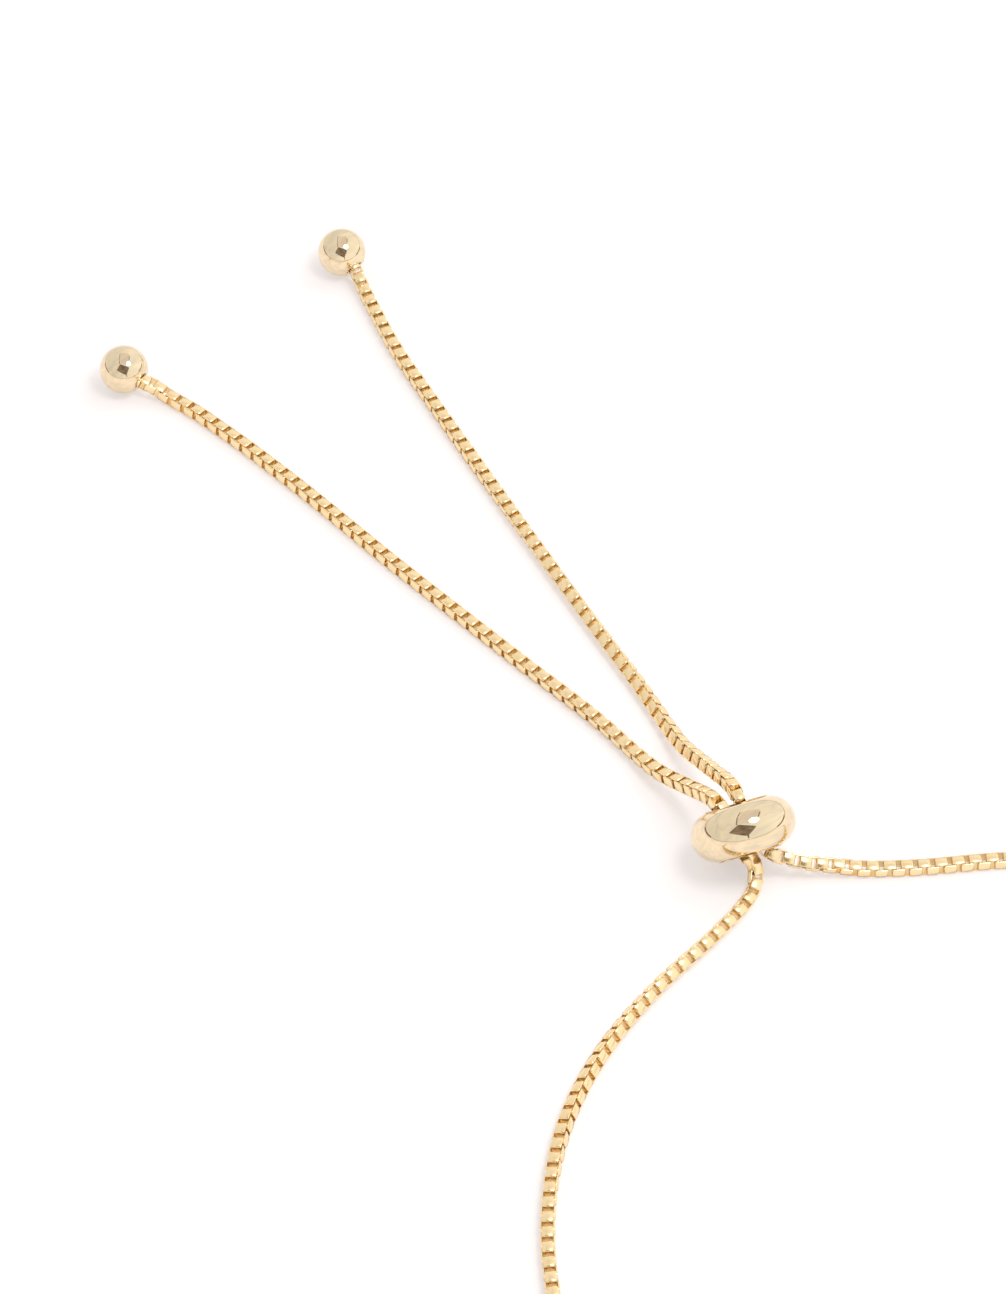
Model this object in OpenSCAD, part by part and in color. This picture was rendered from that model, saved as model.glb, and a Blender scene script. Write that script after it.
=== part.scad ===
// Sliding toggle bracelet, laid out open on a table.
// One fine box chain makes the wrist loop. Both its ends pass through a polished
// slider bead with a soft core, and each ends in a polished ball.
// The table is the plane z = 0. The tails point along +Y and the wrist loop along -Y.

/* [Slider] */
// Diameter of the bead over its rounded rim
slider_d = 6.2; // [6:0.1:6.8]
// Thickness of the bead along its hole
slider_t = 3.2; // [3.1:0.1:3.5]
// Radius of the rounded rim, seen in section
rim_r = 1.5; // [1.35:0.05:1.5]
// Diameter of the hole through the bead
slider_hole_d = 3.2; // [3.1:0.05:3.3]
// Compass direction of the hole's upper mouth, in degrees from +X
slider_turn = 76; // [70:1:82]
// Angle of the hole's axis above the table, in degrees
slider_lift = 38; // [35:1:42]

/* [Stopper core] */
// Length of the soft core inside the bead
core_l = 2.4; // [2.2:0.1:2.6]
// Gap between the core and the wall of the bead's hole
core_gap = 0.05; // [0.03:0.01:0.08]
// Diameter of each of the core's two chain bores
bore_d = 1.1; // [1.05:0.01:1.12]
// Distance between the centres of the two bores
bore_spacing = 1.2; // [1.18:0.01:1.22]
// Lean of the bores towards the left tail, in degrees off the bead's axis
bore_lean = 12; // [8:1:13]

/* [Chain] */
// Width of the box chain over its link corners
chain_w = 0.92; // [0.86:0.01:0.94]
// Number of flats round the chain's outer form
chain_sides = 8; // [8:2:10]
// Longest step between two cross-sections of the chain
ring_step = 7; // [5:0.5:8]

/* [End balls] */
// Diameter of each end ball
ball_d = 3; // [2.9:0.05:3.2]
// Distance from a ball's centre to the flat round its hole
ball_flat = 1.3; // [1.25:0.01:1.35]
// Diameter of the hole that takes the end of the chain
ball_hole_d = 1.1; // [1.05:0.01:1.2]
// Distance from a ball's centre to the bottom of its hole
ball_hole_from = 0.5; // [0.3:0.05:0.5]
// Gap between the chain's end and the bottom of the hole
seat_gap = 0.1; // [0.05:0.05:0.15]

/* [Hidden] */

gold = [0.93, 0.78, 0.48];
pale_rubber = [0.86, 0.84, 0.80];

// Section of the bead: a rim arc that runs smoothly into a wide, shallow face arc
rim_at = slider_d / 2 - rim_r;
half_t = slider_t / 2;
face_r = (rim_at * rim_at + half_t * half_t - rim_r * rim_r) / (2 * (half_t - rim_r));

// The bead stands on its rim, tipped back by slider_lift
slider_at = [2, 0, rim_at * cos(slider_lift) + rim_r];

// Height of the chain's centre line where it lies on the table
lay_z = chain_w / 2;

// Place and facing of each end ball: centre, compass direction and lift of its hole
ball_left_at = [-6.7, 52.6, ball_d / 2];
ball_left_turn = -67;
ball_left_lift = -15;
ball_right_at = [10.1, 53.4, ball_d / 2];
ball_right_turn = -83;
ball_right_lift = -25;

// Where the two halves of the chain meet, at the far point of the wrist loop
loop_far = [0, -54.5, lay_z];

// Route of each half of the chain: from its ball to the slider, then round the loop
left_tail = [
    [-5.7, 50.8, 0.9], [-5.3, 50, 0.6], [-4.9, 49, lay_z], [-3.9, 45, lay_z],
    [-3, 40, lay_z], [-1.6, 30, lay_z], [0, 20, lay_z], [1.3, 11.4, lay_z],
    [1.4, 9.4, 0.6], [1.4, 7.4, 1.1], [1.6, 5.4, 1.8], [1.6, 3.9, 2.6],
    [1.5, 2.8, 3.3], [1.4, 2, 3.7]
];
left_leg = [
    [1.7, -1.5, 1.3], [1.4, -2.1, 0.7], [0.8, -2.6, 0.5], [-0.2, -3.1, lay_z],
    [-2.4, -3.8, lay_z], [-8, -5.2, lay_z], [-13, -7.1, lay_z], [-18, -10.3, lay_z],
    [-22, -14.5, lay_z], [-25, -19.3, lay_z], [-27, -24.5, lay_z], [-28, -30, lay_z],
    [-27.8, -35.5, lay_z], [-26, -41, lay_z], [-22.5, -46, lay_z], [-17.5, -50.1, lay_z],
    [-12, -52.8, lay_z], [-6, -54.2, lay_z]
];
right_tail = [
    [10.1, 51.4, 0.6], [9.8, 50.2, lay_z], [8.6, 45, lay_z], [7.9, 40, lay_z],
    [6.6, 30, lay_z], [5.4, 20, lay_z], [4.5, 12.3, lay_z], [4.1, 10, 0.65],
    [3.7, 8, 1.2], [3.5, 6.1, 1.9], [3.25, 4.4, 2.7], [3.05, 2.9, 3.35], [2.75, 1.8, 3.75]
];
right_leg = [
    [2.8, -1.7, 1.6], [3.3, -2, 1.3], [4.2, -2.8, 1], [5.4, -3.6, 0.7],
    [7, -4.8, 0.5], [10, -6.7, lay_z], [14, -8.9, lay_z], [19, -12.4, lay_z],
    [23.2, -16.8, lay_z], [26.1, -22.2, lay_z], [27.5, -28.2, lay_z], [27, -34.4, lay_z],
    [24.8, -40.2, lay_z], [21, -45.4, lay_z], [16, -49.7, lay_z], [10.8, -52.7, lay_z],
    [5.4, -54.2, lay_z]
];

// How far the chain keeps straight on each side of the core's middle
straight_half = core_l / 2 + 0.2;
core_steps = [1, 0.45, -0.45, -1];

$fn = 96;

// A direction from its compass angle and its lift above the table
function pointing(turn, lift) = [cos(lift) * cos(turn), cos(lift) * sin(turn), sin(lift)];
function unit(v) = v / norm(v);

// Line of the slider's hole, the level line across it and the line of the leaning bores
hole_line = pointing(slider_turn, slider_lift);
across_line = [-sin(slider_turn), cos(slider_turn), 0];
bore_line = hole_line * cos(bore_lean) + across_line * sin(bore_lean);

// Points of a chain half inside the slider; side is 1 for the left half, -1 for the right
function core_points(side) = [
    for (step = core_steps)
        slider_at + across_line * side * bore_spacing / 2 + bore_line * step * straight_half
];

// First two points of a chain half, inside the ball's hole and just out of it
function ball_points(at, turn, lift) = [
    at + pointing(turn, lift) * (ball_hole_from + seat_gap),
    at + pointing(turn, lift) * (ball_flat + seat_gap)
];

left_route = concat(
    ball_points(ball_left_at, ball_left_turn, ball_left_lift),
    left_tail, core_points(1), left_leg, [loop_far]
);
right_route = concat(
    ball_points(ball_right_at, ball_right_turn, ball_right_lift),
    right_tail, core_points(-1), right_leg, [loop_far]
);

// Smooth curve through a route's points, weighted by the length of each span
function span(p, i) = norm(p[i + 1] - p[i]);
function heading(p, i) = i == 0 ? (p[1] - p[0]) / span(p, 0)
    : i == len(p) - 1 ? (p[i] - p[i - 1]) / span(p, i - 1)
    : ((p[i] - p[i - 1]) * span(p, i) / span(p, i - 1)
        + (p[i + 1] - p[i]) * span(p, i - 1) / span(p, i)) / (span(p, i) + span(p, i - 1));
function on_span(p, i, t) =
    p[i] * (2 * t * t * t - 3 * t * t + 1)
    + heading(p, i) * span(p, i) * (t * t * t - 2 * t * t + t)
    + p[i + 1] * (3 * t * t - 2 * t * t * t)
    + heading(p, i + 1) * span(p, i) * (t * t * t - t * t);
function steps_in(p, i) = ceil(span(p, i) / ring_step);
function on_table(q) = [q.x, q.y, max(q.z, lay_z)];
function curve(p) = concat(
    [for (i = [0:len(p) - 2], j = [0:steps_in(p, i) - 1])
        on_table(on_span(p, i, j / steps_in(p, i)))],
    [p[len(p) - 1]]
);

// Direction of the curve at one of its points; the last one is square to the other half
function facing(c, i, last_facing) = i == len(c) - 1 ? last_facing
    : unit(c[i + 1] - c[max(i - 1, 0)]);

// One cross-section, with a flat side underneath
function ring(at, along) =
    let (
        side = unit(cross(along, [0, 0, 1])),
        up = cross(side, along),
        corner_r = chain_w / 2 / cos(180 / chain_sides)
    )
    [
        for (k = [0:chain_sides - 1])
            let (a = (k + 0.5) * 360 / chain_sides)
            at + (side * cos(a) + up * sin(a)) * corner_r
    ];

// Outer form of a chain half, swept along its route
module chain_half(route, last_facing) {
    c = curve(route);
    n = chain_sides;
    points = [for (i = [0:len(c) - 1]) each ring(c[i], facing(c, i, last_facing))];
    walls = [
        for (i = [0:len(c) - 2], k = [0:n - 1])
            [i * n + k, i * n + (k + 1) % n, (i + 1) * n + (k + 1) % n, (i + 1) * n + k]
    ];
    first_cap = [for (k = [n - 1:-1:0]) k];
    last_cap = [for (k = [0:n - 1]) (len(c) - 1) * n + k];
    polyhedron(points, concat([first_cap, last_cap], walls));
}

// Turns a piece made along +Z to a compass direction and a lift, at a place
module place(at, turn, lift) {
    translate(at) rotate([0, 90 - lift, turn]) children();
}

// Section of the bead in its own plane, to the right of the axis
module slider_section() {
    intersection() {
        union() {
            translate([rim_at, 0]) circle(rim_r);
            translate([0, -slider_t]) square([rim_at + rim_r * rim_at / (face_r - rim_r), 2 * slider_t]);
        }
        translate([0, half_t - face_r]) circle(face_r, $fn = 720);
        translate([0, face_r - half_t]) circle(face_r, $fn = 720);
        translate([slider_hole_d / 2, -slider_t]) square([slider_d, 2 * slider_t]);
    }
}

module slider() {
    color(gold) place(slider_at, slider_turn, slider_lift) rotate_extrude() slider_section();
}

module stopper_core() {
    color(pale_rubber) place(slider_at, slider_turn, slider_lift) difference() {
        cylinder(d = slider_hole_d - 2 * core_gap, h = core_l, center = true);
        for (side = [-1, 1])
            translate([0, side * bore_spacing / 2, 0]) rotate([-bore_lean, 0, 0])
                cylinder(d = bore_d, h = 2 * core_l, center = true);
    }
}

module end_ball() {
    difference() {
        sphere(d = ball_d);
        translate([0, 0, ball_flat]) cylinder(d = ball_d, h = ball_d);
        translate([0, 0, ball_hole_from]) cylinder(d = ball_hole_d, h = ball_d);
    }
}

module ball_left() {
    color(gold) place(ball_left_at, ball_left_turn, ball_left_lift) end_ball();
}

module ball_right() {
    color(gold) place(ball_right_at, ball_right_turn, ball_right_lift) end_ball();
}

module chain_left() {
    color(gold) chain_half(left_route, [1, 0, 0]);
}

module chain_right() {
    color(gold) chain_half(right_route, [-1, 0, 0]);
}

slider();
stopper_core();
ball_left();
ball_right();
chain_left();
chain_right();
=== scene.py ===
# %% [markdown]
# # A sliding toggle bracelet
#
# The bracelet is one fine box chain. It makes a wrist loop, both its ends pass through a polished
# slider bead with a soft core, and each end is closed by a polished ball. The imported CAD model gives
# the size and the place of every piece. This script dresses it: the bead, the core and the balls are
# modelled again with smooth, polished surfaces, and the plain tubes that stand for the chain are
# replaced by real links that pass through each other.
#
# Everything is in metres, and TINY is the distance below which two places count as the same. The table
# is the plane z = 0, the tails point along +Y and the loop along -Y.

# %% Load the frame
import math
import random

import bpy
from mathutils import Matrix, Vector


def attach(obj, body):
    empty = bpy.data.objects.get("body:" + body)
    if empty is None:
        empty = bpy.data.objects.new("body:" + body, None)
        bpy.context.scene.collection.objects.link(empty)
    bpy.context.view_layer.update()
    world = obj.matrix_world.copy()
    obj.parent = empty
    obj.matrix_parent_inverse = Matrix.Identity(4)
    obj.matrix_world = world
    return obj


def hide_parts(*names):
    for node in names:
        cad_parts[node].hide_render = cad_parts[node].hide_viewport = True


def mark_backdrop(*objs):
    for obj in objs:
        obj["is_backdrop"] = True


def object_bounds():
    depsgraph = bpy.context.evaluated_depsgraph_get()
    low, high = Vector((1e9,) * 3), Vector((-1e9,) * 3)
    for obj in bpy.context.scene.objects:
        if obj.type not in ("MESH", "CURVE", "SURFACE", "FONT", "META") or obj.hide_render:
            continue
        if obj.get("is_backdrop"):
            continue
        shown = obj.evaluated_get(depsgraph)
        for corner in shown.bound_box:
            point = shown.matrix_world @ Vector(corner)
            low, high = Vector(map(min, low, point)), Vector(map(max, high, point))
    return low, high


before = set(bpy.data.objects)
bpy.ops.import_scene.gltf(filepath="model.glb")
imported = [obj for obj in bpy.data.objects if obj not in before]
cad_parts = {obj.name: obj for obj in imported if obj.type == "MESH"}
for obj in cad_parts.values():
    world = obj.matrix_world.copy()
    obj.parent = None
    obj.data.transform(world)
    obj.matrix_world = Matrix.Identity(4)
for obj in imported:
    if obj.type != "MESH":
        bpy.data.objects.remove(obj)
cad_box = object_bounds()
scene = bpy.context.scene
MM = 0.001
TINY = 1e-6
print("CAD nodes:", ", ".join(sorted(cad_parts)))
print("CAD box in mm:", [round((high - low) / MM, 2) for low, high in zip(*cad_box)])

# %% [markdown]
# ## The camera
#
# The photograph looks down at the table at about 48 degrees from close by, with a long lens, so the
# far balls are only a little smaller than the near chain. A camera could be placed by eye, but a small
# error then shows along the whole chain. Here its distance, its tilt and its lens were worked out once
# from the round balls and the even spacing of the links, and are written down as three plain values.
# The studio is laid out as the camera sees it, so a helper turns "right, away, up" into the part's frame.

# %% Place the camera
LOOK_AT = Vector((0.0001, 0.0214, 0))
VIEW_TURN = math.radians(35)
VIEW_TILT = math.radians(48.43)
VIEW_DISTANCE = 0.3602
LENS = 167.8
SENSOR = 36


def in_studio(right, away, up):
    """A point of the studio as the camera sees it, counted from the middle of the picture."""
    sideways = Vector((math.cos(VIEW_TURN), -math.sin(VIEW_TURN), 0))
    forwards = Vector((math.sin(VIEW_TURN), math.cos(VIEW_TURN), 0))
    return LOOK_AT + sideways * right + forwards * away + Vector((0, 0, up))


def facing(start, target):
    """Rotation of an object at start whose -Z side looks at target."""
    return (target - start).to_track_quat("-Z", "Y").to_euler()


camera_at = in_studio(0, -VIEW_DISTANCE * math.cos(VIEW_TILT), VIEW_DISTANCE * math.sin(VIEW_TILT))
bpy.ops.object.camera_add(location=camera_at, rotation=facing(camera_at, LOOK_AT))
camera = bpy.context.object
camera.name = "product_camera"
camera.data.lens = LENS
camera.data.sensor_width = SENSOR
camera.data.clip_start = 0.01
camera.data.clip_end = 20
scene.camera = camera
print("camera in mm:", [round(value / MM, 1) for value in camera_at])

# %% [markdown]
# ## Node helpers
#
# Every finish below is a small tree of nodes. Linking them by hand takes many lines that say little,
# so a few helpers do it: one adds a node and fills its sockets, one starts a new material, and the rest
# make what every finish uses, which is noise, its range and a mix of two colours.

# %% Helpers for node trees
def fill_socket(tree, socket, value):
    """Sets a socket to a number or a colour, or links another node's output to it."""
    if isinstance(value, bpy.types.NodeSocket):
        tree.links.new(value, socket)
    else:
        socket.default_value = value


def add_node(tree, kind, settings=None, **sockets):
    """Adds a node and fills the sockets that are named, with _ for a space."""
    node = tree.nodes.new(kind)
    for name, value in (settings or {}).items():
        setattr(node, name, value)
    for name, value in sockets.items():
        fill_socket(tree, node.inputs[name.replace("_", " ")], value)
    return node


def new_material(name):
    """A material and its node tree, emptied."""
    material = bpy.data.materials.new(name)
    material.use_nodes = True
    material.node_tree.nodes.clear()
    return material, material.node_tree


def set_output(tree, shader):
    """Connects the last shader to the surface."""
    add_node(tree, "ShaderNodeOutputMaterial", Surface=shader.outputs[0])


def object_place(tree):
    """The piece's own Object coordinates, so that a pattern stays on the piece."""
    return add_node(tree, "ShaderNodeTexCoord").outputs["Object"]


def object_noise(tree, scale, detail=2.0, roughness=0.5):
    """Noise over the piece; 1 / scale is about the size of its patches in metres."""
    return add_node(
        tree, "ShaderNodeTexNoise",
        Vector=object_place(tree), Scale=scale, Detail=detail, Roughness=roughness,
    ).outputs["Fac"]


def spread(tree, value, low, high):
    """Maps noise, which mostly lies between 0.3 and 0.7, to a range from low to high."""
    return add_node(
        tree, "ShaderNodeMapRange", Value=value,
        From_Min=0.3, From_Max=0.7, To_Min=low, To_Max=high,
    ).outputs["Result"]


def two_tones(tree, factor, first, second):
    """Mixes two colours; a mix node has its colour sockets at 6 and 7 and its colour output at 2."""
    mix = add_node(tree, "ShaderNodeMix", {"data_type": "RGBA"}, Factor=factor)
    fill_socket(tree, mix.inputs[6], first)
    fill_socket(tree, mix.inputs[7], second)
    return mix.outputs[2]


# %% [markdown]
# ## The studio
#
# Polished gold has no colour of its own to show: it shows the room. The pale peach band round each ball
# is the white table, the slightly darker and greener middle is the sky, the white spot is the main lamp
# and the brown patch beside it is the dark camera with a leg of its stand. Two short dark strokes beside
# the spot are the sides of a hatch in the ceiling, and the thin line between sky and table is a low rim
# round the table, darker to the left and right. So the room is built plainly but completely.
#
# Its finishes come first. The table glows a little: a stronger lamp would make it as white, but would
# also deepen the shadows, and on a white product photograph they are faint.

# %% Finishes of the studio
TABLE_GLOW = 0.43


def white_table():
    """White board with a very faint mottle, so that it isn't one flat value."""
    material, tree = new_material("white_table")
    mottle = spread(tree, object_noise(tree, scale=40), 0.0, 1.0)
    shader = add_node(
        tree, "ShaderNodeBsdfPrincipled",
        Base_Color=two_tones(tree, mottle, (0.55, 0.53, 0.53, 1), (0.57, 0.55, 0.55, 1)),
        Roughness=0.85, Specular_IOR_Level=0.1,
        Emission_Color=(1.0, 0.965, 0.98, 1), Emission_Strength=TABLE_GLOW,
    )
    set_output(tree, shader)
    return material


def dull_cloth(name, light, deep):
    """Dull cloth in two tones, for the camera, its stand and the rim round the table."""
    material, tree = new_material(name)
    patches = spread(tree, object_noise(tree, scale=5, detail=1.0), 0.0, 1.0)
    shader = add_node(
        tree, "ShaderNodeBsdfPrincipled",
        Base_Color=two_tones(tree, patches, light, deep),
        Roughness=spread(tree, object_noise(tree, scale=12), 0.7, 0.9),
    )
    set_output(tree, shader)
    return material


def hatch_light():
    """A dim, warm ceiling light behind frosted film."""
    material, tree = new_material("hatch_light")
    film = add_node(
        tree, "ShaderNodeEmission",
        Color=(0.86, 0.80, 0.77, 1), Strength=spread(tree, object_noise(tree, scale=5), 0.97, 1.03),
    )
    set_output(tree, film)
    return material


white = white_table()
brown = dull_cloth("brown_cloth", (0.32, 0.265, 0.21, 1), (0.14, 0.115, 0.095, 1))
tan = dull_cloth("tan_board", (0.62, 0.47, 0.33, 1), (0.56, 0.42, 0.29, 1))
frosted = hatch_light()
print("studio finishes:", white.name, brown.name, tan.name, frosted.name)

# %% [markdown]
# ## Table, boards and rims
#
# The table is a large plane at z = 0. Everything else is a board or a strip that only has to be in the
# right place as the gold sees it: the camera's card and a leg of its stand face the bracelet from the
# camera's side, the hatch and its two sides hang level overhead, and the rim stands round the table. A
# photograph as a background would give such reflections too, but boards can be moved one by one until
# each dark stroke in the bead sits where it should. They are hidden from the camera and cast no shadow.

# %% Build the studio
TABLE_SIZE = 6.0
CARD_DISTANCE = 0.85
CARD_CORNERS = [(-0.54, -0.12), (-0.26, 0.36), (0.43, 0.10), (0.22, -0.50)]
STAND_CORNERS = [(0.19, -0.47), (0.25, -0.44), (0.34, -0.74), (0.29, -0.76)]
CEILING = 0.9
HATCH_LEFT = -0.31
HATCH_RIGHT = 0.36
HATCH_NEAR = -0.3
HATCH_FAR = 0.75
BAR_WIDTH = 0.05
RIGHT_BAR_NEAR = 0.1
RIGHT_BAR_FAR = 0.52
RAIL_RADIUS = 1.0
RAIL_FROM = math.radians(65)
RAIL_TO = math.radians(105)
DARK_RAIL_HEIGHT = 0.07
TAN_RAIL_HEIGHT = 0.03
studio_right = in_studio(1, 0, 0) - LOOK_AT
studio_away = in_studio(0, 1, 0) - LOOK_AT
towards_camera = (camera_at - LOOK_AT).normalized()
card_up = towards_camera.cross(studio_right)
hatch_sides = (HATCH_LEFT, HATCH_RIGHT)
right_bar_sides = (HATCH_RIGHT, HATCH_RIGHT + BAR_WIDTH)


def only_in_the_gold(piece, material):
    """Gives a piece of the studio its finish, hides it from the camera and takes its shadow away."""
    piece.data.materials.append(material)
    piece.visible_camera = False
    piece.visible_shadow = False
    return piece


def board(name, corners, material):
    """A four cornered board of the studio."""
    bpy.ops.object.select_all(action="DESELECT")
    bpy.ops.mesh.primitive_plane_add(size=1)
    made = bpy.context.object
    made.name = name
    around = [made.data.vertices[index] for index in made.data.polygons[0].vertices]
    for vertex, corner in zip(around, corners):
        vertex.co = corner
    return only_in_the_gold(made, material)


def camera_board(name, corners, material):
    """A board square to the camera's line of sight; its corners count from that line."""
    middle = LOOK_AT + towards_camera * CARD_DISTANCE
    return board(name, [middle + studio_right * u + card_up * v for u, v in corners], material)


def ceiling_board(name, near, far, near_sides, far_sides, material):
    """A level board under the ceiling; its sides may slant from the near end to the far end."""
    corners = [(near_sides[0], near), (near_sides[1], near), (far_sides[1], far), (far_sides[0], far)]
    return board(name, [in_studio(*corner, CEILING) for corner in corners], material)


def table_rail(name, height, from_turn, to_turn, material):
    """A low upright rim round the table, kept between two turns on both sides of straight away."""
    bpy.ops.object.select_all(action="DESELECT")
    bpy.ops.mesh.primitive_cylinder_add(
        vertices=96, radius=RAIL_RADIUS, depth=height, end_fill_type="NOTHING",
        location=LOOK_AT + Vector((0, 0, height / 2)),
    )
    rail = bpy.context.object
    rail.name = name
    bpy.ops.object.mode_set(mode="EDIT")
    bpy.ops.mesh.select_all(action="DESELECT")
    bpy.ops.mesh.select_mode(type="FACE")
    bpy.ops.object.mode_set(mode="OBJECT")
    for face in rail.data.polygons:
        turn = abs(math.atan2(face.center.dot(studio_right), face.center.dot(studio_away)))
        face.select = not from_turn < turn < to_turn
    bpy.ops.object.mode_set(mode="EDIT")
    bpy.ops.mesh.delete(type="FACE")
    bpy.ops.object.mode_set(mode="OBJECT")
    return only_in_the_gold(rail, material)


bpy.ops.object.select_all(action="DESELECT")
bpy.ops.mesh.primitive_plane_add(size=TABLE_SIZE, location=(0, 0, 0))
table = bpy.context.object
table.name = "table"
table.data.materials.append(white)

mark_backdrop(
    table,
    camera_board("camera_card", CARD_CORNERS, brown),
    camera_board("stand_leg", STAND_CORNERS, brown),
    ceiling_board("ceiling_hatch", HATCH_NEAR, HATCH_FAR, hatch_sides, hatch_sides, frosted),
    ceiling_board(
        "hatch_bar_left", HATCH_NEAR, HATCH_FAR,
        (HATCH_LEFT - BAR_WIDTH, HATCH_LEFT), (HATCH_LEFT, HATCH_LEFT + BAR_WIDTH), brown,
    ),
    ceiling_board(
        "hatch_bar_right", RIGHT_BAR_NEAR, RIGHT_BAR_FAR, right_bar_sides, right_bar_sides, brown
    ),
    table_rail("dark_rail", DARK_RAIL_HEIGHT, RAIL_FROM, RAIL_TO, brown),
    table_rail("near_rail", TAN_RAIL_HEIGHT, RAIL_TO, math.pi, tan),
    table_rail("far_rail", TAN_RAIL_HEIGHT, 0, RAIL_FROM, tan),
)
print("studio: table", TABLE_SIZE, "m, rim", RAIL_RADIUS, "m away, hatch", CEILING, "m up")

# %% [markdown]
# ## Lamps and sky
#
# One small round lamp almost overhead makes the white spot and the soft shadow behind the bead. A large
# weak one fills the shadows and stays out of the reflections. How bright a lamp looks and how much light
# it gives are two things: the first counts for the spot, so the lamp's power is worked out from its glow
# and its size. For the fill the second counts, so its glow is worked out from the light it should give.
# The sky is even, but a little brighter to the right, as a room with a window is.

# %% Light the studio
LAMP_AT = in_studio(0.075, -0.04, 0.22)
LAMP_SIZE = 0.082
LAMP_GLOW = 10.0
FILL_AT = in_studio(0.5, 0.3, 0.75)
FILL_SIZE = 0.6
FILL_LIGHT = 0.15
SKY_LEFT = 0.84
SKY_RIGHT = 1.14
scene.view_settings.view_transform = "Standard"
scene.view_settings.look = "None"


def round_lamp(name, at, size, glow):
    """A round lamp that looks at the bracelet; glow is how bright its face looks."""
    bpy.ops.object.light_add(type="AREA", location=at, rotation=facing(at, LOOK_AT))
    lamp = bpy.context.object
    lamp.name = name
    lamp.data.shape = "DISK"
    lamp.data.size = size
    lamp.data.energy = glow * math.pi * math.pi * (size / 2) ** 2
    lamp.visible_camera = False
    return lamp


round_lamp("overhead_lamp", LAMP_AT, LAMP_SIZE, LAMP_GLOW)
fill_reach = (FILL_AT - LOOK_AT).length
fill_share = (FILL_SIZE / 2) ** 2 / (fill_reach ** 2 + (FILL_SIZE / 2) ** 2)
fill_lamp = round_lamp("fill_lamp", FILL_AT, FILL_SIZE, FILL_LIGHT / fill_share)
fill_lamp.visible_glossy = False

sky = bpy.data.worlds.new("studio_sky")
scene.world = sky
sky.use_nodes = True
sky.node_tree.nodes.clear()
sky_side = add_node(
    sky.node_tree, "ShaderNodeVectorMath", {"operation": "DOT_PRODUCT"},
    Vector=add_node(sky.node_tree, "ShaderNodeTexCoord").outputs["Generated"],
)
sky_side.inputs[1].default_value = studio_right
sky_strength = add_node(
    sky.node_tree, "ShaderNodeMapRange", Value=sky_side.outputs["Value"],
    From_Min=-1.0, From_Max=1.0, To_Min=SKY_LEFT, To_Max=SKY_RIGHT,
)
background = add_node(
    sky.node_tree, "ShaderNodeBackground",
    Color=(1.0, 0.99, 0.96, 1), Strength=sky_strength.outputs["Result"],
)
add_node(sky.node_tree, "ShaderNodeOutputWorld", Surface=background.outputs[0])
print("lamps:", round((LAMP_AT - LOOK_AT).length, 3), "m and", round(fill_reach, 3), "m away")

# %% [markdown]
# ## The finishes
#
# The bead and the balls are mirror polished in a pale champagne gold. A mirror with nothing on it looks
# computed, so the finish gets what polishing and wear leave: a very fine waviness, a little uneven
# gloss, a slight change of tint and faint dull streaks, which come from noise that is stretched along X.
# The chain is a yellower gold, and its links are stamped from strip, so their faces are less even and
# less glossy. All patterns read Object coordinates, so they stay on the metal.

# %% Gold and rubber
POLISHED_GOLD = (0.945, 0.775, 0.53, 1)
POLISHED_GOLD_WARM = (0.935, 0.755, 0.49, 1)
CHAIN_GOLD = (1.0, 0.79, 0.475, 1)
CHAIN_GOLD_WARM = (0.99, 0.76, 0.43, 1)
STREAK_GOLD = (0.60, 0.53, 0.40, 1)
STREAK_SCALE = (350, 2200, 2200)


def gold(
    name, light, warm, tint_size, gloss, wave_size, wave_height, scratch_size, scratch_height, streaks
):
    """Gold with uneven tint, uneven gloss, a long soft wave, fine marks and dull polishing streaks."""
    material, tree = new_material(name)
    tint = two_tones(tree, spread(tree, object_noise(tree, 1 / tint_size), 0.0, 1.0), light, warm)
    along = add_node(tree, "ShaderNodeMapping", Vector=object_place(tree), Scale=STREAK_SCALE)
    streak_noise = add_node(
        tree, "ShaderNodeTexNoise", Vector=along.outputs["Vector"], Scale=1.0, Detail=3.0, Distortion=0.6
    )
    dulled = two_tones(tree, spread(tree, streak_noise.outputs["Fac"], 0.0, streaks), tint, STREAK_GOLD)
    wave = add_node(
        tree, "ShaderNodeBump", Strength=1.0, Distance=wave_height,
        Height=object_noise(tree, 1 / wave_size, detail=1.0),
    )
    marks = add_node(
        tree, "ShaderNodeBump", Strength=1.0, Distance=scratch_height,
        Height=object_noise(tree, 1 / scratch_size, detail=3.0, roughness=0.7),
        Normal=wave.outputs["Normal"],
    )
    shader = add_node(
        tree, "ShaderNodeBsdfPrincipled",
        Base_Color=dulled, Metallic=1.0,
        Roughness=spread(tree, object_noise(tree, 0.6 / tint_size), gloss[0], gloss[1]),
        Normal=marks.outputs["Normal"],
    )
    set_output(tree, shader)
    return material


def silicone():
    """Pale, slightly see-through looking rubber with a fine moulded grain."""
    material, tree = new_material("pale_silicone")
    grain = add_node(
        tree, "ShaderNodeBump", Strength=0.4, Distance=0.00002, Height=object_noise(tree, 9000)
    )
    shader = add_node(
        tree, "ShaderNodeBsdfPrincipled",
        Base_Color=(0.80, 0.77, 0.72, 1), Subsurface_Weight=0.3,
        Roughness=spread(tree, object_noise(tree, 2500), 0.45, 0.6),
        Normal=grain.outputs["Normal"],
    )
    shader.inputs["Subsurface Radius"].default_value = (0.0006, 0.0004, 0.0003)
    set_output(tree, shader)
    return material


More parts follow.
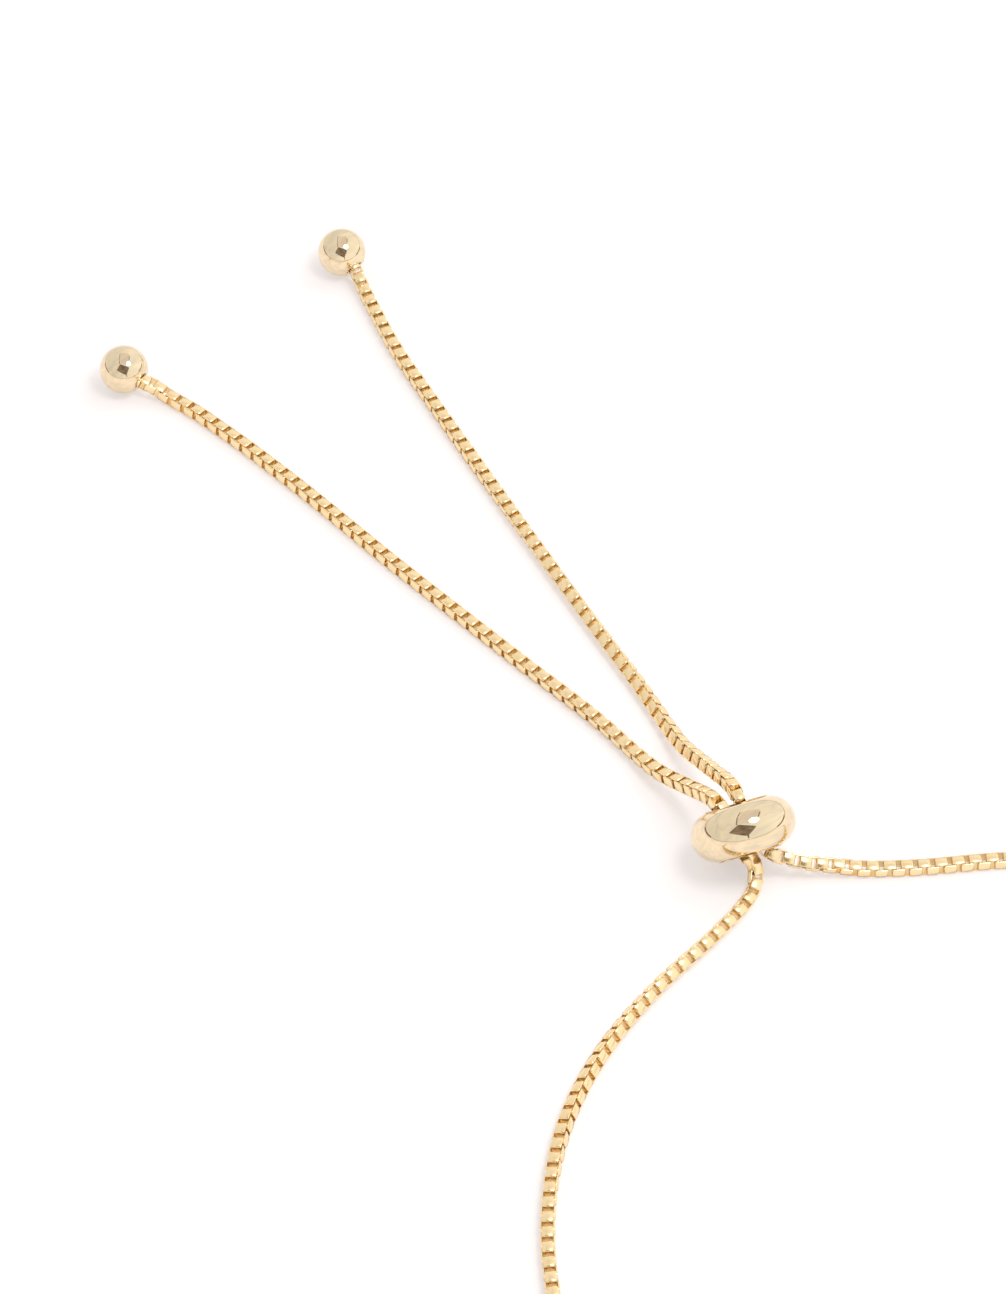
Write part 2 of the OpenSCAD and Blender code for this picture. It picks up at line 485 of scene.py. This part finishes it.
polished_gold = gold(
    "polished_gold", POLISHED_GOLD, POLISHED_GOLD_WARM, tint_size=0.0025, gloss=(0.03, 0.07),
    wave_size=0.0016, wave_height=0.000007, scratch_size=0.0002, scratch_height=0.0000003, streaks=0.6,
)
chain_gold = gold(
    "chain_gold", CHAIN_GOLD, CHAIN_GOLD_WARM, tint_size=0.0012, gloss=(0.2, 0.32),
    wave_size=0.0005, wave_height=0.000006, scratch_size=0.00008, scratch_height=0.0000008, streaks=0.1,
)
pale_silicone = silicone()
print("finishes:", polished_gold.name, chain_gold.name, pale_silicone.name)

# %% [markdown]
# ## Working in edit mode
#
# An operator acts on whatever is selected, so each step starts with nothing selected and then picks its
# faces or edges by where they are. These helpers open a piece for editing, pick by a test on the
# middle of a face or an edge, and put the finished piece in its place with the move in its mesh.

# %% Helpers for selecting and placing
def open_piece(name):
    """Takes the primitive that was just added, names it and opens it with nothing selected."""
    piece = bpy.context.object
    piece.name = name
    piece.data.name = name
    bpy.ops.object.transform_apply(location=True, rotation=True, scale=True)
    bpy.ops.object.mode_set(mode="EDIT")
    bpy.ops.mesh.select_all(action="DESELECT")
    return piece


def pick(piece, kind, test):
    """Selects what passes the test: it gets a middle and a normal, or for an edge its run."""
    bpy.ops.mesh.select_mode(type=kind)
    bpy.ops.mesh.select_all(action="DESELECT")
    bpy.ops.object.mode_set(mode="OBJECT")
    mesh = piece.data
    if kind == "FACE":
        for face in mesh.polygons:
            face.select = test(face.center, face.normal)
    elif kind == "EDGE":
        for edge in mesh.edges:
            ends = [mesh.vertices[index].co for index in edge.vertices]
            edge.select = test((ends[0] + ends[1]) / 2, ends[1] - ends[0])
    else:
        for vertex in mesh.vertices:
            vertex.select = test(vertex.co, vertex.normal)
    bpy.ops.object.mode_set(mode="EDIT")


def close_piece(piece, material, smooth_angle=None):
    """Merges doubles, points faces outwards, smooths the piece and gives it its finish."""
    bpy.ops.mesh.select_all(action="SELECT")
    bpy.ops.mesh.remove_doubles(threshold=TINY)
    bpy.ops.mesh.normals_make_consistent(inside=False)
    bpy.ops.object.mode_set(mode="OBJECT")
    if smooth_angle is None:
        bpy.ops.object.shade_smooth()
    else:
        bpy.ops.object.shade_smooth_by_angle(angle=smooth_angle)
    piece.data.materials.append(material)


def put_in_place(piece, place):
    """Moves the finished mesh to its place; the object itself stays at the origin."""
    piece.data.transform(place)
    piece.data.update()


def aimed(at, turn, lift):
    """Place of a piece made along +Z whose +Z side points to a compass turn and a lift."""
    tipped = Matrix.Rotation(math.pi / 2 - lift, 4, "Y")
    return Matrix.Translation(at) @ Matrix.Rotation(turn, 4, "Z") @ tipped


def hand_over(piece, node):
    """Ties the piece to the CAD model's body and hides the CAD node that it stands for."""
    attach(piece, "root")
    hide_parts(node)
    print(f"{piece.name}: {len(piece.data.polygons)} faces, stands for {node}")


# %% [markdown]
# ## The slider bead
#
# The bead is a thick ring with a round rim and gently domed faces, pushed along the chain to set the
# size. It could be a squashed ball with a hole cut through it, but a cut leaves uneven faces round the
# hole, and a mirror shows them. It is turned instead, as on a lathe: one vertex is spun into the rim's
# arc, its ends are spun on along the two face arcs and joined by the line of the hole, and that outline
# is spun round the hole's axis. The face arcs are so short and flat that one step is enough for each.
# That also leaves room to round the edges of the hole: a bevel can't be wider than the faces next to it,
# and a sharp edge there shows as a black line.

# %% Turn the slider
SLIDER_TURN = math.radians(76)
SLIDER_LIFT = math.radians(38)
SLIDER_RADIUS = 0.0031
SLIDER_HALF_T = 0.0016
RIM_RADIUS = 0.0015
HOLE_RADIUS = 0.0016
HOLE_ROUND = 0.00015
HOLE_ROUND_STEPS = 8
RIM_STEPS = 32
FACE_STEPS = 1
TURN_STEPS = 160

rim_at = SLIDER_RADIUS - RIM_RADIUS
SLIDER_AT = Vector((0.002, 0, rim_at * math.cos(SLIDER_LIFT) + RIM_RADIUS))
face_radius = (rim_at ** 2 + SLIDER_HALF_T ** 2 - RIM_RADIUS ** 2) / (2 * (SLIDER_HALF_T - RIM_RADIUS))
rim_angle = math.atan2(face_radius - SLIDER_HALF_T, rim_at)
print("rim arc", round(math.degrees(rim_angle), 1), "degrees each way, face radius",
      round(face_radius / MM, 2), "mm")


def spin_arc(centre, angle, steps):
    """Spins the selected vertex about an axis along +Y through centre; its last copy stays selected."""
    bpy.ops.mesh.spin(steps=steps, angle=angle, center=centre, axis=(0, 1, 0), use_auto_merge=False)


def turned_slider():
    """Bead along +Z about the origin."""
    rim_middle = Vector((SLIDER_RADIUS, 0, 0))
    bpy.ops.object.select_all(action="DESELECT")
    bpy.ops.mesh.primitive_plane_add(size=0.0002, location=rim_middle)
    bead = open_piece("slider_bead")
    bpy.ops.mesh.select_all(action="SELECT")
    bpy.ops.mesh.merge(type="CENTER")
    for way in (1, -1):
        pick(bead, "VERT", lambda spot, normal: (spot - rim_middle).length < TINY)
        spin_arc((rim_at, 0, 0), -way * rim_angle, RIM_STEPS)
        face_turn = math.pi / 2 - rim_angle
        hole_turn = face_turn - math.asin(HOLE_RADIUS / face_radius)
        spin_arc((0, 0, way * (SLIDER_HALF_T - face_radius)), -way * hole_turn, FACE_STEPS)
    hole_top = math.sqrt(face_radius ** 2 - HOLE_RADIUS ** 2) - (face_radius - SLIDER_HALF_T)
    pick(bead, "VERT", lambda spot, normal: abs(spot.x - HOLE_RADIUS) < TINY)
    bpy.ops.mesh.edge_face_add()
    bpy.ops.mesh.select_all(action="SELECT")
    bpy.ops.mesh.spin(
        steps=TURN_STEPS, angle=2 * math.pi, center=(0, 0, 0), axis=(0, 0, 1), use_auto_merge=True
    )
    bpy.ops.mesh.select_all(action="SELECT")
    bpy.ops.mesh.remove_doubles(threshold=TINY)
    pick(
        bead, "EDGE",
        lambda middle, run: abs(abs(middle.z) - hole_top) < 2 * TINY
        and middle.xy.length < HOLE_RADIUS + 2 * TINY and abs(run.z) < TINY,
    )
    bpy.ops.mesh.bevel(offset=HOLE_ROUND, segments=HOLE_ROUND_STEPS, affect="EDGES")
    close_piece(bead, polished_gold)
    return bead


slider_bead = turned_slider()
put_in_place(slider_bead, aimed(SLIDER_AT, SLIDER_TURN, SLIDER_LIFT))
hand_over(slider_bead, "slider")

# %% [markdown]
# ## The soft core
#
# Inside the bead a plug of silicone grips both runs of the chain, so the slider stays where it is
# pushed. Only its ends can be seen, deep in the bead. It is a cylinder with softened edges and two
# bores that lean a little, as the chains run through it. The bores are cut with the Boolean modifier,
# because two leaning holes don't fall on any even ring of faces.

# %% Drill the core
CORE_RADIUS = 0.00155
CORE_LENGTH = 0.0024
BORE_RADIUS = 0.00055
BORE_OFFSET = 0.0006
BORE_LEAN = math.radians(12)
CORE_ROUND = 0.00012


def bore_cutter(side):
    """A round rod where one run of the chain passes; side is 1 for the left half, -1 for the right."""
    bpy.ops.object.select_all(action="DESELECT")
    bpy.ops.mesh.primitive_cylinder_add(
        vertices=48, radius=BORE_RADIUS, depth=2 * CORE_LENGTH,
        location=(0, side * BORE_OFFSET, 0), rotation=(-BORE_LEAN, 0, 0),
    )
    cutter = bpy.context.object
    bpy.ops.object.transform_apply(location=True, rotation=True, scale=True)
    return cutter


def drilled_core():
    """Core along +Z about the origin."""
    bpy.ops.object.select_all(action="DESELECT")
    bpy.ops.mesh.primitive_cylinder_add(vertices=96, radius=CORE_RADIUS, depth=CORE_LENGTH)
    core = open_piece("soft_core")
    pick(core, "EDGE", lambda middle, run: abs(abs(middle.z) - CORE_LENGTH / 2) < TINY)
    bpy.ops.mesh.bevel(offset=CORE_ROUND, segments=4, affect="EDGES")
    bpy.ops.object.mode_set(mode="OBJECT")
    for side in (1, -1):
        cutter = bore_cutter(side)
        bpy.ops.object.select_all(action="DESELECT")
        bpy.context.view_layer.objects.active = core
        core.select_set(True)
        cut = core.modifiers.new("bore", "BOOLEAN")
        cut.operation = "DIFFERENCE"
        cut.solver = "EXACT"
        cut.object = cutter
        bpy.ops.object.modifier_apply(modifier=cut.name)
        bpy.data.objects.remove(cutter)
    bpy.ops.object.mode_set(mode="EDIT")
    close_piece(core, pale_silicone, smooth_angle=math.radians(35))
    return core


soft_core = drilled_core()
put_in_place(soft_core, aimed(SLIDER_AT, SLIDER_TURN, SLIDER_LIFT))
hand_over(soft_core, "stopper_core")

# %% [markdown]
# ## The end balls
#
# Each ball keeps the slider from running off the chain. It is a full round ball with a small flat,
# drilled for the end of the chain. A UV sphere has its poles where the hole goes, so the pole is cut
# off flat with bisect, the new face is inset to the hole's size and pushed in, and both edges are
# rounded, because a sharp edge on polished metal looks like paper.

# %% Drill the balls
BALL_RADIUS = 0.0015
BALL_FLAT = 0.0013
BALL_HOLE_RADIUS = 0.00055
BALL_HOLE_FROM = 0.0005
BALL_ROUND = 0.00006
BALL_LEFT_AT = Vector((-0.0067, 0.0526, BALL_RADIUS))
BALL_LEFT_TURN = math.radians(-67)
BALL_LEFT_LIFT = math.radians(-15)
BALL_RIGHT_AT = Vector((0.0101, 0.0534, BALL_RADIUS))
BALL_RIGHT_TURN = math.radians(-83)
BALL_RIGHT_LIFT = math.radians(-25)


def drilled_ball(name):
    """Ball about the origin, with its hole on the +Z side."""
    bpy.ops.object.select_all(action="DESELECT")
    bpy.ops.mesh.primitive_uv_sphere_add(segments=96, ring_count=64, radius=BALL_RADIUS)
    ball = open_piece(name)
    bpy.ops.mesh.select_all(action="SELECT")
    bpy.ops.mesh.bisect(
        plane_co=(0, 0, BALL_FLAT), plane_no=(0, 0, 1), use_fill=True, clear_outer=True, threshold=1e-8
    )
    pick(ball, "FACE", lambda middle, normal: normal.z > 0.999 and abs(middle.z - BALL_FLAT) < TINY)
    flat_radius = math.sqrt(BALL_RADIUS ** 2 - BALL_FLAT ** 2)
    bpy.ops.mesh.inset(thickness=flat_radius - BALL_HOLE_RADIUS)
    bpy.ops.mesh.extrude_region_move(
        TRANSFORM_OT_translate={"value": (0, 0, BALL_HOLE_FROM - BALL_FLAT)}
    )
    pick(
        ball, "EDGE",
        lambda middle, run: abs(middle.z - BALL_FLAT) < TINY and abs(run.z) < TINY / 10
        and min(abs(middle.xy.length - flat_radius), abs(middle.xy.length - BALL_HOLE_RADIUS)) < 3 * TINY,
    )
    bpy.ops.mesh.bevel(offset=BALL_ROUND, segments=4, affect="EDGES")
    close_piece(ball, polished_gold)
    return ball


ball_left = drilled_ball("end_ball_left")
put_in_place(ball_left, aimed(BALL_LEFT_AT, BALL_LEFT_TURN, BALL_LEFT_LIFT))
hand_over(ball_left, "ball_left")
ball_right = drilled_ball("end_ball_right")
put_in_place(ball_right, aimed(BALL_RIGHT_AT, BALL_RIGHT_TURN, BALL_RIGHT_LIFT))
hand_over(ball_right, "ball_right")

# %% [markdown]
# ## One link of box chain
#
# A box chain link is a short flat strip bent into a square with round corners. Its neighbour is the
# same link turned a quarter, so from any side the chain shows broad plates with dark gaps between
# them. The strip is almost as wide as the inside of the next link, which is what makes the plates broad.
# The link could be a curve with a flat bevel, but by hand it is quicker from a cube: round the four
# upright edges, inset the two open sides by the strip's thickness, drop the middle faces and bridge the
# two inner rims. A small chamfer on the strip's edges catches the light. The link is repeated hundreds
# of times, so it gets by with a few dozen faces.

# %% Bend the link
LINK_SIDE = 0.0008
LINK_LENGTH = 0.000745
STRIP_WIDTH = 0.0006
STRIP_THICKNESS = 0.00008
LINK_CORNER = 0.0001
STRIP_CHAMFER = 0.00002


def is_outer(middle, run):
    """True for an edge that runs along the link's outer outline."""
    outwards = Vector((middle.x / LINK_LENGTH, middle.y / LINK_SIDE))
    across = abs(run.xy.normalized() @ outwards.normalized())
    return max(abs(outwards.x), abs(outwards.y)) > 0.4 and across < 0.6


def bent_link():
    """Link about the origin: its length along X, its side along Y, its strip's width along Z."""
    bpy.ops.object.select_all(action="DESELECT")
    bpy.ops.mesh.primitive_cube_add(size=1, scale=(LINK_LENGTH, LINK_SIDE, STRIP_WIDTH))
    link = open_piece("link")
    pick(link, "EDGE", lambda middle, run: abs(run.z) > STRIP_WIDTH / 2)
    bpy.ops.mesh.bevel(offset=LINK_CORNER, segments=2, affect="EDGES")
    pick(link, "FACE", lambda middle, normal: abs(normal.z) > 0.9)
    bpy.ops.mesh.inset(thickness=STRIP_THICKNESS, use_individual=True)
    bpy.ops.mesh.delete(type="FACE")
    rim = STRIP_WIDTH / 2 - TINY / 10
    inner_x = LINK_LENGTH / 2 - STRIP_THICKNESS + TINY
    inner_y = LINK_SIDE / 2 - STRIP_THICKNESS + TINY
    pick(
        link, "EDGE",
        lambda middle, run: abs(middle.z) > rim and abs(middle.x) < inner_x and abs(middle.y) < inner_y
        and max(abs(run.x), abs(run.y)) > TINY / 10,
    )
    bpy.ops.mesh.bridge_edge_loops()
    pick(
        link, "EDGE",
        lambda middle, run: abs(middle.z) > rim and abs(run.z) < TINY / 10 and is_outer(middle, run),
    )
    bpy.ops.mesh.bevel(offset=STRIP_CHAMFER, segments=1, affect="EDGES")
    close_piece(link, chain_gold, smooth_angle=math.radians(46))
    return link


link = bent_link()
print("link:", len(link.data.polygons), "faces")

# %% [markdown]
# ## The route of the chain
#
# Each half of the chain runs from its ball along the table, climbs to the bead, goes down through the
# core and round its side of the loop. The points are those of the CAD model's tubes, so the links lie
# where the tubes lie. A curve through them is weighted by the length of each span, which keeps it from
# swinging out where a short span follows a long one.

# %% Route points and the curve through them
LAY_Z = 0.00046
LOOP_FAR = (0, -0.0545, LAY_Z)
STRAIGHT_HALF = CORE_LENGTH / 2 + 0.0002
CORE_STEPS = (1, 0.45, -0.45, -1)
SEAT_GAP = 0.0001

LEFT_TAIL = [
    (-0.0057, 0.0508, 0.0009), (-0.0053, 0.05, 0.0006), (-0.0049, 0.049, LAY_Z),
    (-0.0039, 0.045, LAY_Z), (-0.003, 0.04, LAY_Z), (-0.0016, 0.03, LAY_Z), (0, 0.02, LAY_Z),
    (0.0013, 0.0114, LAY_Z), (0.0014, 0.0094, 0.0006), (0.0014, 0.0074, 0.0011),
    (0.0016, 0.0054, 0.0018), (0.0016, 0.0039, 0.0026), (0.0015, 0.0028, 0.0033),
    (0.0014, 0.002, 0.0037),
]
LEFT_LEG = [
    (0.0017, -0.0015, 0.0013), (0.0014, -0.0021, 0.0007), (0.0008, -0.0026, 0.0005),
    (-0.0002, -0.0031, LAY_Z), (-0.0024, -0.0038, LAY_Z), (-0.008, -0.0052, LAY_Z),
    (-0.013, -0.0071, LAY_Z), (-0.018, -0.0103, LAY_Z), (-0.022, -0.0145, LAY_Z),
    (-0.025, -0.0193, LAY_Z), (-0.027, -0.0245, LAY_Z), (-0.028, -0.03, LAY_Z),
    (-0.0278, -0.0355, LAY_Z), (-0.026, -0.041, LAY_Z), (-0.0225, -0.046, LAY_Z),
    (-0.0175, -0.0501, LAY_Z), (-0.012, -0.0528, LAY_Z), (-0.006, -0.0542, LAY_Z),
]
RIGHT_TAIL = [
    (0.0101, 0.0514, 0.0006), (0.0098, 0.0502, LAY_Z), (0.0086, 0.045, LAY_Z),
    (0.0079, 0.04, LAY_Z), (0.0066, 0.03, LAY_Z), (0.0054, 0.02, LAY_Z),
    (0.0045, 0.0123, LAY_Z), (0.0041, 0.01, 0.00065), (0.0037, 0.008, 0.0012),
    (0.0035, 0.0061, 0.0019), (0.00325, 0.0044, 0.0027), (0.00305, 0.0029, 0.00335),
    (0.00275, 0.0018, 0.00375),
]
RIGHT_LEG = [
    (0.0028, -0.0017, 0.0016), (0.0033, -0.002, 0.0013), (0.0042, -0.0028, 0.001),
    (0.0054, -0.0036, 0.0007), (0.007, -0.0048, 0.0005), (0.01, -0.0067, LAY_Z),
    (0.014, -0.0089, LAY_Z), (0.019, -0.0124, LAY_Z), (0.0232, -0.0168, LAY_Z),
    (0.0261, -0.0222, LAY_Z), (0.0275, -0.0282, LAY_Z), (0.027, -0.0344, LAY_Z),
    (0.0248, -0.0402, LAY_Z), (0.021, -0.0454, LAY_Z), (0.016, -0.0497, LAY_Z),
    (0.0108, -0.0527, LAY_Z), (0.0054, -0.0542, LAY_Z),
]


def pointing(turn, lift):
    """Unit vector at a compass turn and a lift above the table."""
    return Vector((math.cos(lift) * math.cos(turn), math.cos(lift) * math.sin(turn), math.sin(lift)))


def core_points(side):
    """The four points of a chain half inside the bead."""
    hole_line = pointing(SLIDER_TURN, SLIDER_LIFT)
    across_line = Vector((-math.sin(SLIDER_TURN), math.cos(SLIDER_TURN), 0))
    bore_line = hole_line * math.cos(BORE_LEAN) + across_line * math.sin(BORE_LEAN)
    middle = SLIDER_AT + across_line * side * BORE_OFFSET
    return [middle + bore_line * step * STRAIGHT_HALF for step in CORE_STEPS]


def ball_points(at, turn, lift):
    """Where a chain half starts in its ball, and where it comes out."""
    line = pointing(turn, lift)
    return [at + line * (BALL_HOLE_FROM + SEAT_GAP), at + line * (BALL_FLAT + SEAT_GAP)]


def smooth_curve(points, steps=24):
    """Close points along a smooth curve through the route's points."""
    points = [Vector(point) for point in points]
    spans = [(b - a).length for a, b in zip(points, points[1:])]
    slopes = [(b - a) / span for a, b, span in zip(points, points[1:], spans)]
    headings = [slopes[0]]
    for before, after, slope_in, slope_out in zip(spans, spans[1:], slopes, slopes[1:]):
        headings.append((slope_in * after + slope_out * before) / (before + after))
    headings.append(slopes[-1])
    curve = []
    for index, span in enumerate(spans):
        start, end = points[index], points[index + 1]
        for step in range(steps):
            t = step / steps
            spot = (
                start * (2 * t ** 3 - 3 * t ** 2 + 1) + headings[index] * span * (t ** 3 - 2 * t ** 2 + t)
                + end * (3 * t ** 2 - 2 * t ** 3) + headings[index + 1] * span * (t ** 3 - t ** 2)
            )
            spot.z = max(spot.z, LAY_Z)
            curve.append(spot)
    curve.append(points[-1])
    return curve


left_route = smooth_curve(
    ball_points(BALL_LEFT_AT, BALL_LEFT_TURN, BALL_LEFT_LIFT)
    + LEFT_TAIL + core_points(1) + LEFT_LEG + [LOOP_FAR]
)
right_route = smooth_curve(
    ball_points(BALL_RIGHT_AT, BALL_RIGHT_TURN, BALL_RIGHT_LIFT)
    + RIGHT_TAIL + core_points(-1) + RIGHT_LEG + [LOOP_FAR]
)


def route_length(route):
    """Length along a route."""
    return sum((b - a).length for a, b in zip(route, route[1:]))


for side, route in (("left", left_route), ("right", right_route)):
    print(side, "half of the chain:", round(route_length(route) / MM, 1), "mm")

# %% [markdown]
# ## Where each link sits
#
# Each link sits one pitch on from the last, turned a quarter. The chain does roll over slowly along its
# length, so in one place a flat side faces the camera and in another an edge with two rows of plates. A
# loose chain is also pushed together a little in some places and pulled out in others. Two short tables
# for each half say so: their rows give the distance from the ball in millimetres, and the roll in
# degrees or the shift in millimetres there. What lies between two rows is worked out evenly.

# %% Tables of roll and shift
LEFT_LINKS = 283
RIGHT_LINKS = 275
LEFT_ROLL = [
    (0, 4), (4, -6), (20, -8), (28, -3), (39, 8), (43, 12), (45, 9), (47.5, -4), (51, -8), (56, -14),
    (59, -26), (63, -30), (66, -34), (70, -42), (75, -56), (78, -68), (80, -80), (84, -86), (144, -90),
]
RIGHT_ROLL = [
    (0, 8), (10, 3), (20, 2), (25, 14), (30, 22), (33.5, 29), (37.5, 34), (40, 41), (44, 55), (46, 62),
    (50, 64), (54, 110), (57, 125), (59.5, 120), (62, 97), (66, 89), (100, 90), (139, 90),
]
LEFT_SHIFT = [(0, 0.15), (48, 0.15), (58, 0.05), (64, 0.15), (70, 0.24), (76, 0.34), (88, 0.34), (144, 0)]
RIGHT_SHIFT = [(0, 0.25), (6, 0.3), (10, 0.38), (40, 0.38), (48, 0.3), (55, 0.08), (70, 0.05), (138, 0)]


def read_table(table, distance):
    """The table's value at a distance along the route; its rows are (mm along the route, value)."""
    distance = distance / MM
    for (start, value), (end, next_value) in zip(table, table[1:]):
        if distance <= end:
            return value + (next_value - value) * (distance - start) / (end - start)
    return table[-1][1]


def stations(route, count, shift_table):
    """One (distance, place, direction) for each link: even steps moved by the table's shifts."""
    pitch = route_length(route) / count
    print(count, "links,", round(pitch / MM, 4), "mm apart")
    found = []
    walked = 0.0
    index = 0
    for number in range(count):
        target = (number + 0.5) * pitch
        target += read_table(shift_table, target) * MM
        while walked + (route[index + 1] - route[index]).length < target:
            walked += (route[index + 1] - route[index]).length
            index += 1
        step = route[index + 1] - route[index]
        found.append((target, route[index] + step.normalized() * (target - walked)))
    places = [spot for _, spot in found]
    directions = []
    for number in range(count):
        before = places[max(number - 1, 0)]
        after = places[min(number + 1, count - 1)]
        directions.append((after - before).normalized())
    return [(distance, spot, line) for (distance, spot), line in zip(found, directions)]


print("roll tables:", len(LEFT_ROLL), "rows and", len(RIGHT_ROLL), "rows")

# %% [markdown]
# ## Laying the links
#
# The link is copied to each place and the copies are joined into one piece. Each copy gets a hair of
# play, as a loose chain has. An Array with a Curve modifier would be shorter, but it bends the links
# like rubber where the chain turns into the bead. A lying link rests on a side or on an edge, so its
# height on the table depends on its roll. The joined chain gets weighted normals, which keep the broad
# plates flat and turn the light at the corners only.

# %% Lay both halves of the chain
PLAY_TILT = math.radians(1.2)
LIFT_OFF = 0.0004


def rest_height(roll):
    """Height of a link's centre when the chain lies on the table with this roll."""
    c, s = abs(math.cos(roll)), abs(math.sin(roll))
    half_side, half_strip = LINK_SIDE / 2, STRIP_WIDTH / 2
    return max(half_side * c + half_strip * s, half_strip * c + half_side * s) - STRIP_CHAMFER / 2


def lay_chain(name, route, count, roll_table, shift_table, first_turn, seed):
    """Copies the link along the route and joins the copies into one piece."""
    play = random.Random(seed)
    bpy.ops.object.select_all(action="DESELECT")
    for number, (distance, spot, line) in enumerate(stations(route, count, shift_table)):
        roll = math.radians(read_table(roll_table, distance))
        side = line.cross(Vector((0, 0, 1))).normalized()
        up = side.cross(line)
        lies = max(0.0, 1 - (spot.z - LAY_Z) / LIFT_OFF)
        spot = spot + Vector((0, 0, lies * (rest_height(roll) - LAY_Z)))
        turn = roll + (number + first_turn) % 2 * math.pi / 2 + play.uniform(-PLAY_TILT, PLAY_TILT)
        out = up * math.cos(turn) + side * math.sin(turn)
        width = line.cross(out)
        place = Matrix((line, out, width)).transposed().to_4x4()
        place.translation = spot
        copy = link.copy()
        copy.data = link.data.copy()
        copy.data.transform(place)
        scene.collection.objects.link(copy)
        copy.select_set(True)
        bpy.context.view_layer.objects.active = copy
    bpy.ops.object.join()
    chain = bpy.context.object
    chain.name = name
    chain.data.name = name
    flat_plates = chain.modifiers.new("flat_plates", "WEIGHTED_NORMAL")
    flat_plates.keep_sharp = True
    bpy.ops.object.modifier_apply(modifier=flat_plates.name)
    return chain


chain_left = lay_chain(
    "box_chain_left", left_route, LEFT_LINKS, LEFT_ROLL, LEFT_SHIFT, first_turn=1, seed=3
)
hand_over(chain_left, "chain_left")
chain_right = lay_chain(
    "box_chain_right", right_route, RIGHT_LINKS, RIGHT_ROLL, RIGHT_SHIFT, first_turn=0, seed=8
)
hand_over(chain_right, "chain_right")
bpy.data.objects.remove(link)

# %% [markdown]
# ## Measure and finish
#
# The dressed bracelet has to keep the CAD model's size, so both boxes are printed.

# %% Print the sizes and finish
visual_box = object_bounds()
for name, box in (("CAD", cad_box), ("visual", visual_box)):
    print(name, "box in mm:", [[round(value / MM, 2) for value in corner] for corner in box])
